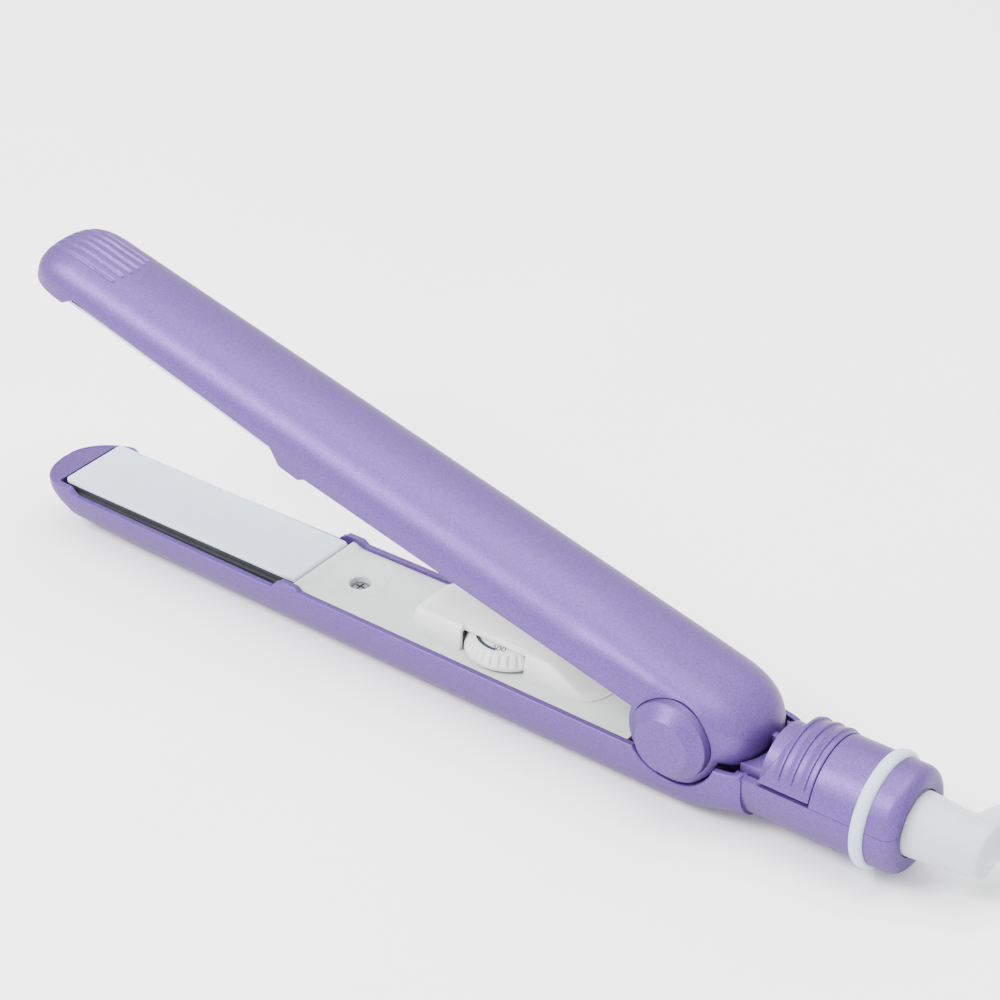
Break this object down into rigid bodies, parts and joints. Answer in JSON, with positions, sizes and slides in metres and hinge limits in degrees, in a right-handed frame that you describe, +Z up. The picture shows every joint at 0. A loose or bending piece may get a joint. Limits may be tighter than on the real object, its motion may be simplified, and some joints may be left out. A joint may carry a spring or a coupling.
{
  "type": "hair straightener",
  "caption": "Slim flat-plate hair straightener with two hinged arms, smooth coated plates, thumbwheel temperature dial, sliding arm lock and a mains lead on a swivel elbow",
  "frame": {"origin": "centre of the footprint of the straightener without its lead, on the surface it lies on", "axes": "+X from the nose to the tail, along the arms; +Z up, from the lower arm to the upper arm; +Y across, away from the side with the round hinge cap"},
  "size_m": [0.4865, 0.083, 0.0953],
  "materials": {
    "pearl_paint": "satin lavender paint with a fine pearl fleck, over moulded plastic",
    "white_plastic": "fine moulded texture, slightly warm white",
    "dial_plastic": "smooth satin white moulding",
    "plate_coating": "smooth white ceramic coating on aluminium",
    "dark_plastic": "dark grey heat-resistant moulding",
    "soft_ring": "pale blue-white soft ring",
    "lead_plastic": "off-white flexible vinyl",
    "steel": "bright plated steel",
    "brass": "plated brass contact metal",
    "ceramic": "fired ceramic",
    "circuit_laminate": "green circuit laminate"
  },
  "bodies": {
    "lower_arm": {"lower_shell": "pearl_paint", "tail_cover": "pearl_paint", "lower_inner_cover": "white_plastic", "dial_housing": "dial_plastic", "dial_potentiometer": "dark_plastic", "circuit_board": "circuit_laminate", "lower_plate": "plate_coating", "lower_plate_carrier": "dark_plastic", "lower_heater": "ceramic", "lower_thermal_fuse": "ceramic", "lower_cover_screw": "steel", "tail_screw": "steel", "tail_ring": "soft_ring", "hinge_pin": "steel", "hinge_bushing_near": "white_plastic", "hinge_bushing_far": "white_plastic", "hinge_spring": "steel", "swivel_bearing": "white_plastic", "cord_lead": "lead_plastic", "cord_hank": "lead_plastic", "cord_end": "lead_plastic", "cord_tie": "lead_plastic", "plug_body": "lead_plastic", "plug_blade_near": "brass", "plug_blade_far": "brass"},
    "upper_arm": {"upper_shell": "pearl_paint", "upper_inner_cover": "white_plastic", "upper_plate": "plate_coating", "upper_plate_carrier": "dark_plastic", "upper_heater": "ceramic", "upper_thermal_fuse": "ceramic", "upper_cover_screw": "steel", "hinge_cap_near": "pearl_paint", "hinge_cap_far": "pearl_paint"},
    "dial": {"temperature_dial": "dial_plastic"},
    "lock": {"lock_slider": "pearl_paint"},
    "swivel": {"swivel_elbow": "lead_plastic", "cord_relief": "lead_plastic", "slip_ring_live": "brass", "slip_ring_neutral": "brass"}
  },
  "joints": [
    {"name": "arm_hinge", "type": "hinge", "parent": "lower_arm", "child": "upper_arm", "pos_m": [0.0838, 0.0023, 0.0247], "axis": [0, -1, 0], "range_deg": [0, 16.3], "stiffness_Nm_per_rad": 0.2, "springref_deg": -97.4},
    {"name": "dial_turn", "type": "hinge", "parent": "lower_arm", "child": "dial", "pos_m": [0.0192, 0.0023, 0.0178], "axis": [0, 0, 1], "range_deg": [0, 240]},
    {"name": "lock_slide", "type": "slide", "parent": "lower_arm", "child": "lock", "axis": [-1, 0, 0], "range_m": [0, 0.006]},
    {"name": "cord_swivel", "type": "hinge", "parent": "lower_arm", "child": "swivel", "pos_m": [0.1565, 0.0023, 0.017], "axis": [1, 0, 0], "continuous": true}
  ]
}
